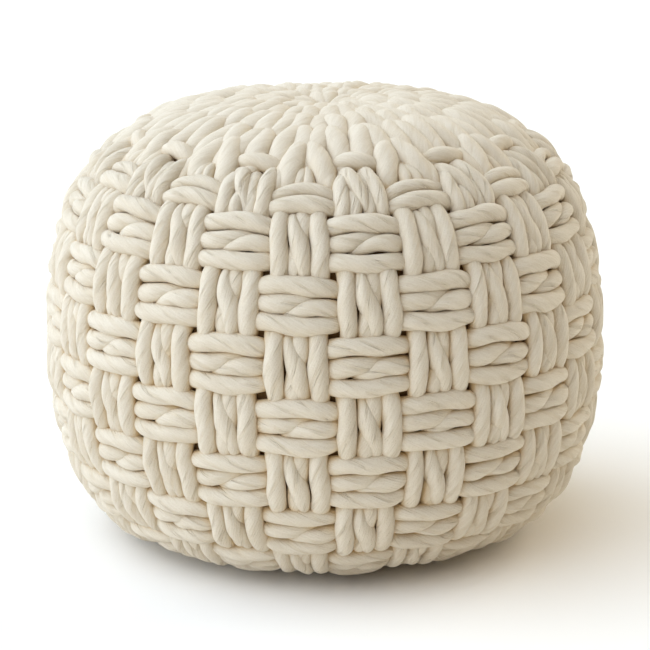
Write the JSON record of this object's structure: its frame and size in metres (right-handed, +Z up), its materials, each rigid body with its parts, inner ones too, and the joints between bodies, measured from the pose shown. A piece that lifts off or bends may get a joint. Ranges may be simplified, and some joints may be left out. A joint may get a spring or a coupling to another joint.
{
  "type": "knitted pouf",
  "caption": "Low round stuffed pouf in thick cream basket-woven wool, with a drawn-in knitted crown and a flat underside.",
  "frame": {"origin": "centre of the flat spot of the underside, on the floor", "axes": "+Z up the pouf's own axis, front towards -Y"},
  "size_m": [0.4998, 0.4998, 0.389],
  "materials": {
    "cream_wool": "matt undyed roving wool"
  },
  "bodies": {
    "root": {"knitted_pouf": "cream_wool"}
  },
  "joints": []
}
